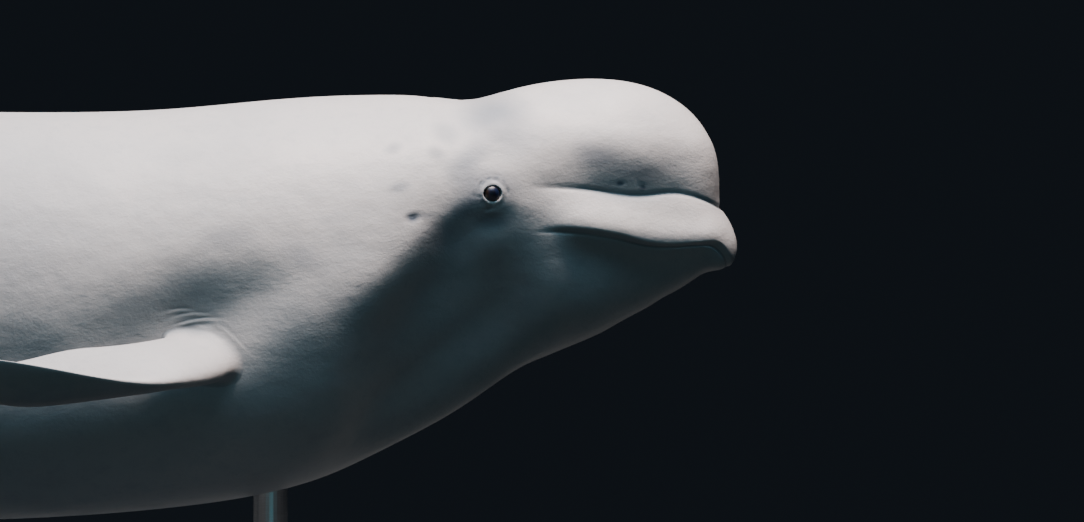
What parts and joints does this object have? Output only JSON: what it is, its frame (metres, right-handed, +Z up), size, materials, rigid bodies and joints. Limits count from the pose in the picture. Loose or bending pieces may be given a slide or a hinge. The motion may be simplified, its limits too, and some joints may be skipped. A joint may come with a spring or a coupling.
{
  "type": "beluga whale display model",
  "caption": "Life-size still model of a beluga whale with domed melon, lipped mouth, paddle flippers and flukes, held level on a flat stand with rods.",
  "frame": {"origin": "middle of the underside of the stand base, on the floor, under the whale's midline and close to its centre of mass", "axes": "+X towards the whale's snout, +Y to its left, +Z up"},
  "size_m": [4.0382, 1.3062, 1.1102],
  "materials": {
    "skin": "satin off-white whale skin, smooth with fine grain and faint grey mottling",
    "eye": "wet dark brown-black eyeball",
    "stand_base": "dark grey satin powder coat",
    "stand_rod": "brushed steel"
  },
  "bodies": {
    "root": {"head": "skin", "lower_jaw": "skin", "neck": "skin", "trunk": "skin", "dorsal_ridge": "skin", "tail_stock": "skin", "fluke_left": "skin", "fluke_right": "skin", "flipper_left": "skin", "flipper_right": "skin", "eye_left": "eye", "eye_right": "eye", "stand_base": "stand_base", "stand_rod_front": "stand_rod", "stand_rod_rear": "stand_rod"}
  },
  "joints": []
}
